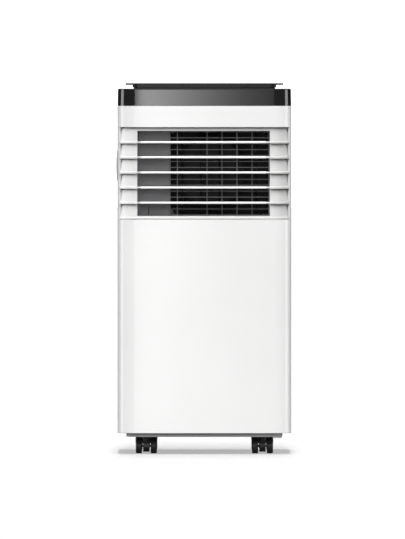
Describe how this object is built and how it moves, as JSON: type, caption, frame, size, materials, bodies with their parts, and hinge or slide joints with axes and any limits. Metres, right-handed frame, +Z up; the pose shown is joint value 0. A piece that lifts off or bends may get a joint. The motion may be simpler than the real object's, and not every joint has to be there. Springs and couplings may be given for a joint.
{
  "type": "portable air conditioner",
  "caption": "Tall white portable air conditioner with a black lid, swinging front louvres, rear filter grilles, a round exhaust port and twin-wheel casters.",
  "frame": {"origin": "on the floor, at the centre of the bounding box in plan", "axes": "+Z up, -Y towards the air outlet at the front, +X to the right of a person facing the front"},
  "size_m": [0.3312, 0.322, 0.7],
  "materials": {
    "white_shell": "satin moulded ABS, faint grain",
    "louvre_frame_white": "satin moulded ABS, a shade greyer than the casing",
    "louvre_white": "smooth moulded ABS",
    "black_gloss": "semi-gloss black moulding",
    "display_glass": "smoked display lens",
    "button_grey": "matte keys",
    "board_green": "solder-resist on fibreglass board",
    "tray_grey": "matte moulded base",
    "duct_grey": "matte grey duct and guard",
    "dark_plastic": "matte dark moulding",
    "caster_black": "nylon housing",
    "caster_wheel": "hard nylon tread",
    "grille_white": "moulded grille and filter frame",
    "rubber_plug": "soft stopper",
    "motor_steel": "zinc-coated steel can",
    "coil_fins": "thin pressed fins",
    "compressor_black": "black stoved enamel",
    "copper": null
  },
  "bodies": {
    "cabinet": {"front_shell": "white_shell", "left_side_panel": "white_shell", "right_side_panel": "white_shell", "side_cap": "white_shell", "rear_shell": "white_shell", "lid": "black_gloss", "top_plate": "black_gloss", "display_window": "display_glass", "control_board": "board_green", "base_tray": "tray_grey", "louvre_bezel": "louvre_frame_white", "louvre_motor": "motor_steel", "outlet_duct": "duct_grey", "guard_grille": "duct_grey", "exhaust_spigot": "white_shell", "cord_gland": "dark_plastic", "upper_scroll": "dark_plastic", "upper_fan_motor": "motor_steel", "lower_scroll": "dark_plastic", "lower_fan_motor": "motor_steel", "exhaust_duct": "dark_plastic", "evaporator_coil": "coil_fins", "condenser_coil": "coil_fins", "compressor": "compressor_black", "suction_pipe": "copper", "discharge_pipe": "copper", "mid_deck": "dark_plastic", "control_box": "dark_plastic"},
    "louvre_1": {"louvre_1": "louvre_white"},
    "louvre_2": {"louvre_2": "louvre_white"},
    "louvre_3": {"louvre_3": "louvre_white"},
    "louvre_4": {"louvre_4": "louvre_white"},
    "louvre_5": {"louvre_5": "louvre_white"},
    "link_bar": {"link_bar": "dark_plastic"},
    "motor_crank": {"motor_crank": "dark_plastic"},
    "vane_1": {"vane_1": "dark_plastic"},
    "vane_2": {"vane_2": "dark_plastic"},
    "vane_3": {"vane_3": "dark_plastic"},
    "vane_4": {"vane_4": "dark_plastic"},
    "vane_5": {"vane_5": "dark_plastic"},
    "vane_link": {"vane_link": "dark_plastic"},
    "fork_front_left": {"fork_front_left": "caster_black"},
    "wheels_front_left": {"wheels_front_left": "caster_wheel"},
    "fork_rear_left": {"fork_rear_left": "caster_black"},
    "wheels_rear_left": {"wheels_rear_left": "caster_wheel"},
    "fork_front_right": {"fork_front_right": "caster_black"},
    "wheels_front_right": {"wheels_front_right": "caster_wheel"},
    "fork_rear_right": {"fork_rear_right": "caster_black"},
    "wheels_rear_right": {"wheels_rear_right": "caster_wheel"},
    "button_power": {"button_power": "button_grey"},
    "button_mode": {"button_mode": "button_grey"},
    "button_fan": {"button_fan": "button_grey"},
    "button_down": {"button_down": "button_grey"},
    "button_up": {"button_up": "button_grey"},
    "button_timer": {"button_timer": "button_grey"},
    "upper_fan_wheel": {"upper_fan_wheel": "dark_plastic"},
    "lower_fan_wheel": {"lower_fan_wheel": "dark_plastic"},
    "upper_filter_grille": {"upper_filter_grille": "grille_white"},
    "lower_filter_grille": {"lower_filter_grille": "grille_white"},
    "drain_plug": {"drain_plug": "rubber_plug"}
  },
  "joints": [
    {"name": "louvre_1_swing", "type": "hinge", "parent": "cabinet", "child": "louvre_1", "pos_m": [0.0016, -0.14455, 0.5886], "axis": [1, 0, 0], "range_deg": [-30, 85]},
    {"name": "louvre_2_swing", "type": "hinge", "parent": "cabinet", "child": "louvre_2", "pos_m": [0.0016, -0.14455, 0.5602], "axis": [1, 0, 0], "range_deg": [-30, 85]},
    {"name": "louvre_swing", "type": "hinge", "parent": "cabinet", "child": "louvre_3", "pos_m": [0.0016, -0.14455, 0.5315], "axis": [1, 0, 0], "range_deg": [-30, 85]},
    {"name": "louvre_4_swing", "type": "hinge", "parent": "cabinet", "child": "louvre_4", "pos_m": [0.0016, -0.14455, 0.5031], "axis": [1, 0, 0], "range_deg": [-30, 85]},
    {"name": "louvre_5_swing", "type": "hinge", "parent": "cabinet", "child": "louvre_5", "pos_m": [0.0016, -0.14455, 0.4744], "axis": [1, 0, 0], "range_deg": [-30, 85]},
    {"name": "link_bar_pivot", "type": "hinge", "parent": "louvre_3", "child": "link_bar", "pos_m": [0.0016, -0.13455, 0.5315], "axis": [1, 0, 0], "range_deg": [-85, 30]},
    {"name": "motor_crank_turn", "type": "hinge", "parent": "cabinet", "child": "motor_crank", "pos_m": [0.0016, -0.12455, 0.517], "axis": [1, 0, 0], "range_deg": [-30, 85]},
    {"name": "vane_1_swing", "type": "hinge", "parent": "cabinet", "child": "vane_1", "pos_m": [-0.0394, -0.108, 0.53], "axis": [0, 0, 1], "range_deg": [-30, 30]},
    {"name": "vane_2_swing", "type": "hinge", "parent": "cabinet", "child": "vane_2", "pos_m": [-0.0046, -0.108, 0.53], "axis": [0, 0, 1], "range_deg": [-30, 30]},
    {"name": "vane_swing", "type": "hinge", "parent": "cabinet", "child": "vane_3", "pos_m": [0.0301, -0.108, 0.53], "axis": [0, 0, 1], "range_deg": [-30, 30]},
    {"name": "vane_4_swing", "type": "hinge", "parent": "cabinet", "child": "vane_4", "pos_m": [0.0648, -0.108, 0.53], "axis": [0, 0, 1], "range_deg": [-30, 30]},
    {"name": "vane_5_swing", "type": "hinge", "parent": "cabinet", "child": "vane_5", "pos_m": [0.0996, -0.108, 0.53], "axis": [0, 0, 1], "range_deg": [-30, 30]},
    {"name": "vane_link_pivot", "type": "hinge", "parent": "vane_3", "child": "vane_link", "pos_m": [0.0301, -0.098, 0.452], "axis": [0, 0, 1], "range_deg": [-30, 30]},
    {"name": "swivel_front_left", "type": "hinge", "parent": "cabinet", "child": "fork_front_left", "pos_m": [-0.1082, -0.111, 0.045], "axis": [0, 0, 1], "continuous": true},
    {"name": "roll_front_left", "type": "hinge", "parent": "fork_front_left", "child": "wheels_front_left", "pos_m": [-0.1082, -0.101, 0.0142], "axis": [1, 0, 0], "continuous": true},
    {"name": "swivel_rear_left", "type": "hinge", "parent": "cabinet", "child": "fork_rear_left", "pos_m": [-0.1082, 0.089, 0.045], "axis": [0, 0, 1], "continuous": true},
    {"name": "roll_rear_left", "type": "hinge", "parent": "fork_rear_left", "child": "wheels_rear_left", "pos_m": [-0.1082, 0.099, 0.0142], "axis": [1, 0, 0], "continuous": true},
    {"name": "swivel_front_right", "type": "hinge", "parent": "cabinet", "child": "fork_front_right", "pos_m": [0.1114, -0.111, 0.045], "axis": [0, 0, 1], "continuous": true},
    {"name": "roll_front_right", "type": "hinge", "parent": "fork_front_right", "child": "wheels_front_right", "pos_m": [0.1114, -0.101, 0.0142], "axis": [1, 0, 0], "continuous": true},
    {"name": "swivel_rear_right", "type": "hinge", "parent": "cabinet", "child": "fork_rear_right", "pos_m": [0.1114, 0.089, 0.045], "axis": [0, 0, 1], "continuous": true},
    {"name": "roll_rear_right", "type": "hinge", "parent": "fork_rear_right", "child": "wheels_rear_right", "pos_m": [0.1114, 0.099, 0.0142], "axis": [1, 0, 0], "continuous": true},
    {"name": "press_power", "type": "slide", "parent": "cabinet", "child": "button_power", "axis": [0, 0, -1], "range_m": [0, 0.0012], "stiffness_N_per_m": 800, "springref_m": -0.0008},
    {"name": "press_mode", "type": "slide", "parent": "cabinet", "child": "button_mode", "axis": [0, 0, -1], "range_m": [0, 0.0012], "stiffness_N_per_m": 800, "springref_m": -0.0008},
    {"name": "press_fan", "type": "slide", "parent": "cabinet", "child": "button_fan", "axis": [0, 0, -1], "range_m": [0, 0.0012], "stiffness_N_per_m": 800, "springref_m": -0.0008},
    {"name": "press_down", "type": "slide", "parent": "cabinet", "child": "button_down", "axis": [0, 0, -1], "range_m": [0, 0.0012], "stiffness_N_per_m": 800, "springref_m": -0.0008},
    {"name": "press_up", "type": "slide", "parent": "cabinet", "child": "button_up", "axis": [0, 0, -1], "range_m": [0, 0.0012], "stiffness_N_per_m": 800, "springref_m": -0.0008},
    {"name": "press_timer", "type": "slide", "parent": "cabinet", "child": "button_timer", "axis": [0, 0, -1], "range_m": [0, 0.0012], "stiffness_N_per_m": 800, "springref_m": -0.0008},
    {"name": "upper_fan_spin", "type": "hinge", "parent": "cabinet", "child": "upper_fan_wheel", "pos_m": [0.0136, -0.047, 0.531], "axis": [0, 1, 0], "continuous": true},
    {"name": "lower_fan_spin", "type": "hinge", "parent": "cabinet", "child": "lower_fan_wheel", "pos_m": [0.0466, 0.003, 0.185], "axis": [0, 1, 0], "continuous": true},
    {"name": "upper_filter_pull", "type": "slide", "parent": "cabinet", "child": "upper_filter_grille", "axis": [0, 1, 0], "range_m": [0, 0.04]},
    {"name": "lower_filter_pull", "type": "slide", "parent": "cabinet", "child": "lower_filter_grille", "axis": [0, 1, 0], "range_m": [0, 0.04]},
    {"name": "drain_plug_pull", "type": "slide", "parent": "cabinet", "child": "drain_plug", "axis": [0, 1, 0], "range_m": [0, 0.02]}
  ],
  "couplings": [
    {"joint": "louvre_1_swing", "follows": "louvre_swing", "ratio": 1},
    {"joint": "louvre_2_swing", "follows": "louvre_swing", "ratio": 1},
    {"joint": "louvre_4_swing", "follows": "louvre_swing", "ratio": 1},
    {"joint": "louvre_5_swing", "follows": "louvre_swing", "ratio": 1},
    {"joint": "link_bar_pivot", "follows": "louvre_swing", "ratio": -1},
    {"joint": "motor_crank_turn", "follows": "louvre_swing", "ratio": 1},
    {"joint": "vane_1_swing", "follows": "vane_swing", "ratio": 1},
    {"joint": "vane_2_swing", "follows": "vane_swing", "ratio": 1},
    {"joint": "vane_4_swing", "follows": "vane_swing", "ratio": 1},
    {"joint": "vane_5_swing", "follows": "vane_swing", "ratio": 1},
    {"joint": "vane_link_pivot", "follows": "vane_swing", "ratio": -1}
  ]
}
